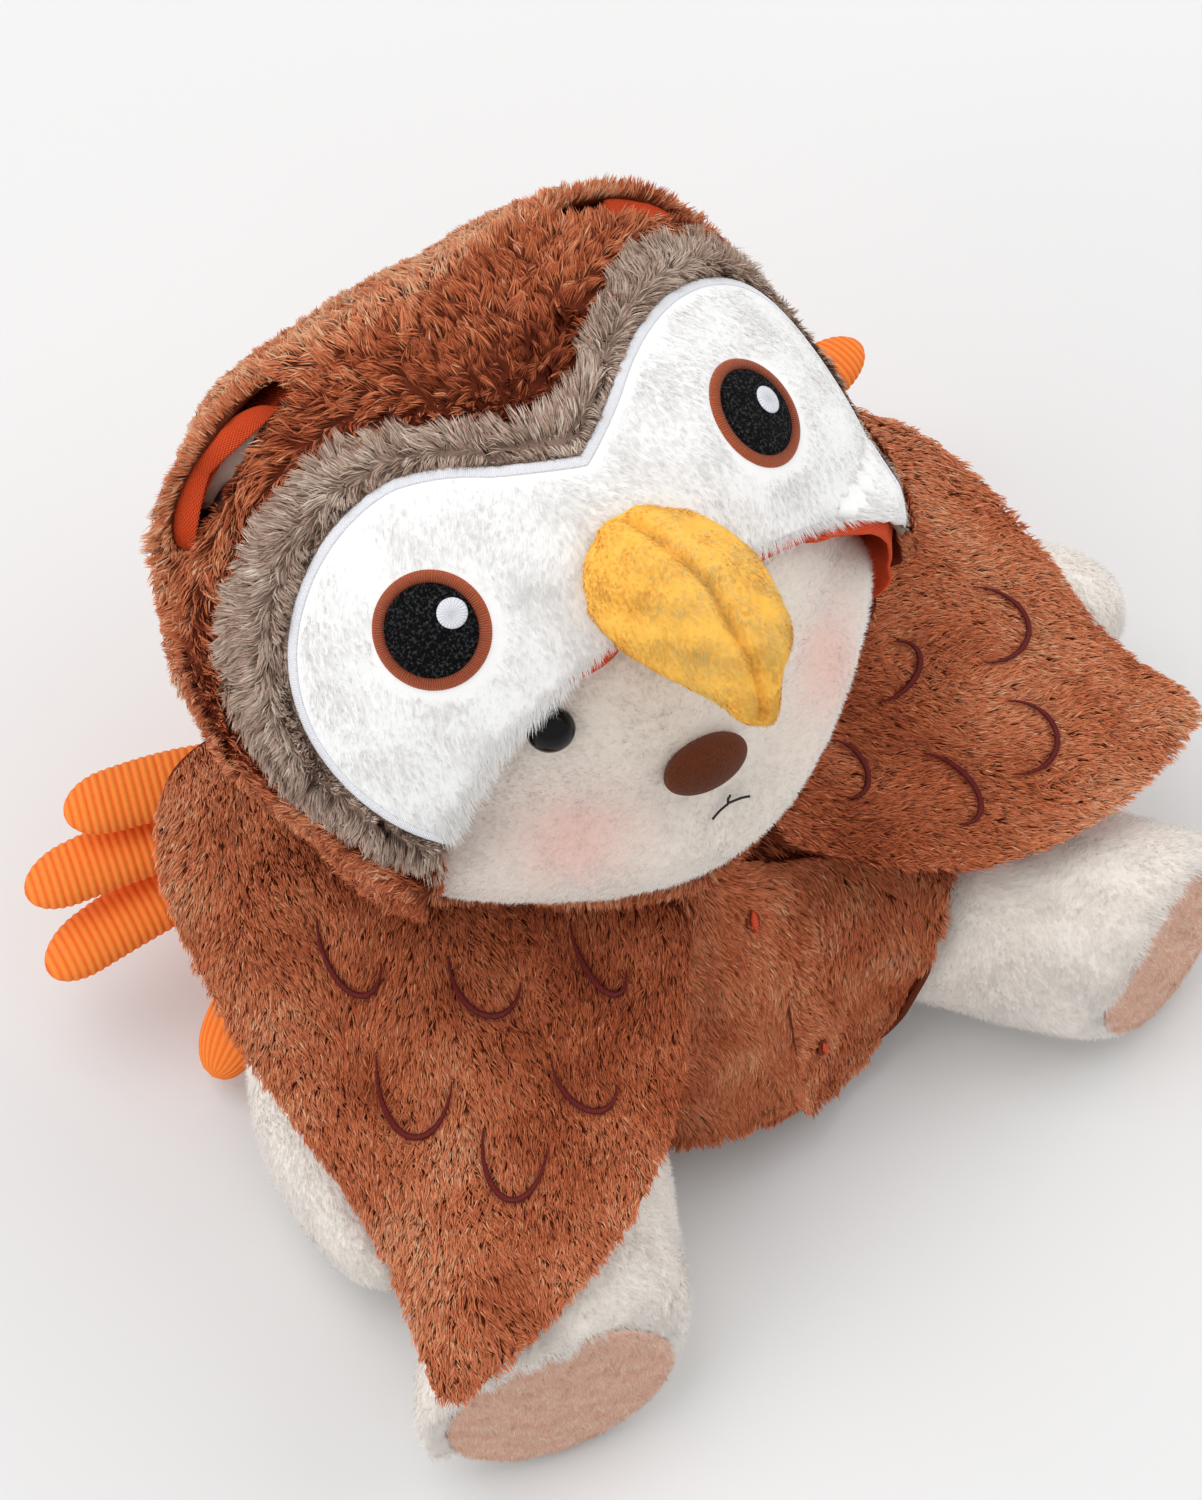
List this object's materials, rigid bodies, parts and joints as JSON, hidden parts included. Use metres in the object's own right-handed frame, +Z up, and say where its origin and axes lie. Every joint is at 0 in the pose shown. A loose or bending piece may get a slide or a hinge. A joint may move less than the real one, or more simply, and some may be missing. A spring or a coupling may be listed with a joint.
{
  "type": "teddy bear in a bird costume",
  "caption": "Seated plush bear in a hooded bird costume with mask, beak, winged tunic and tail feathers; head, limbs and wings are jointed.",
  "frame": {"origin": "middle of the flat seat, on the floor that the bear sits on", "axes": "+Z up, the bear faces -Y, and its left side is towards +X"},
  "size_m": [0.3161, 0.2504, 0.2595],
  "materials": {
    "white_plush": "short soft off-white plush pile with a faint pink blush on the cheeks",
    "brown_plush": "long brushed red-brown plush pile",
    "taupe_plush": "longer streaked taupe plush pile",
    "mask_plush": "bright white plush pile with satin-stitched edges",
    "beak_plush": "short yellow-orange plush pile",
    "sole_plush": "short tan plush pile",
    "orange_twill": "smooth orange-red lining twill",
    "orange_cord": "orange corduroy with fine ribs",
    "black_gloss": "glossy black domed plastic",
    "brown_flock": "plastic flocked in dark brown",
    "washer_plastic": "translucent white plastic",
    "tape_nylon": "woven nylon hook-and-loop tape"
  },
  "bodies": {
    "torso": {"torso": "white_plush", "tunic": "brown_plush", "loop_tape": "tape_nylon", "hook_tape": "tape_nylon", "placket": "brown_plush", "tail_pad": "orange_cord", "right_feather_1": "orange_cord", "right_feather_2": "orange_cord", "right_feather_3": "orange_cord", "right_feather_4": "orange_cord", "left_feather_1": "orange_cord", "left_feather_2": "orange_cord", "left_feather_3": "orange_cord", "left_feather_4": "orange_cord"},
    "head": {"head": "white_plush", "right_ear": "white_plush", "left_ear": "white_plush", "right_eye": "black_gloss", "right_eye_washer": "washer_plastic", "left_eye": "black_gloss", "left_eye_washer": "washer_plastic", "nose": "brown_flock", "nose_washer": "washer_plastic", "hood_front": "brown_plush", "hood_back": "brown_plush", "hood_lining": "orange_twill", "brow_band": "taupe_plush", "mask": "mask_plush", "beak": "beak_plush"},
    "right_leg": {"right_leg": "white_plush", "right_foot_pad": "sole_plush"},
    "left_leg": {"left_leg": "white_plush", "left_foot_pad": "sole_plush"},
    "right_arm": {"right_arm": "white_plush"},
    "left_arm": {"left_arm": "white_plush"},
    "right_wing": {"right_wing": "brown_plush", "right_wing_lining": "orange_twill"},
    "left_wing": {"left_wing": "brown_plush", "left_wing_lining": "orange_twill"}
  },
  "joints": [
    {"name": "neck_turn", "type": "hinge", "parent": "torso", "child": "head", "pos_m": [0, 0.044, 0.175], "axis": [0, 0, 1], "range_deg": [-20, 20]},
    {"name": "right_hip", "type": "hinge", "parent": "torso", "child": "right_leg", "pos_m": [-0.041, -0.023, 0.034], "axis": [0, 0, 1], "range_deg": [-2, 12]},
    {"name": "left_hip", "type": "hinge", "parent": "torso", "child": "left_leg", "pos_m": [0.041, -0.023, 0.034], "axis": [0, 0, 1], "range_deg": [-12, 2]},
    {"name": "right_shoulder", "type": "hinge", "parent": "torso", "child": "right_arm", "pos_m": [-0.05, 0.014, 0.064], "axis": [0, 1, 0], "range_deg": [0, 11]},
    {"name": "left_shoulder", "type": "hinge", "parent": "torso", "child": "left_arm", "pos_m": [0.05, 0.014, 0.064], "axis": [0, 1, 0], "range_deg": [-11, 0]},
    {"name": "right_wing_lift", "type": "hinge", "parent": "torso", "child": "right_wing", "pos_m": [-0.027, 0.0215, 0.1025], "axis": [-0.2791, 0.9603, 0], "range_deg": [0, 11]},
    {"name": "left_wing_lift", "type": "hinge", "parent": "torso", "child": "left_wing", "pos_m": [0.032, 0.0215, 0.1025], "axis": [0.2009, 0.9796, 0], "range_deg": [-11, 0]}
  ],
  "couplings": [
    {"joint": "right_wing_lift", "follows": "right_shoulder", "ratio": 1},
    {"joint": "left_wing_lift", "follows": "left_shoulder", "ratio": 1}
  ]
}
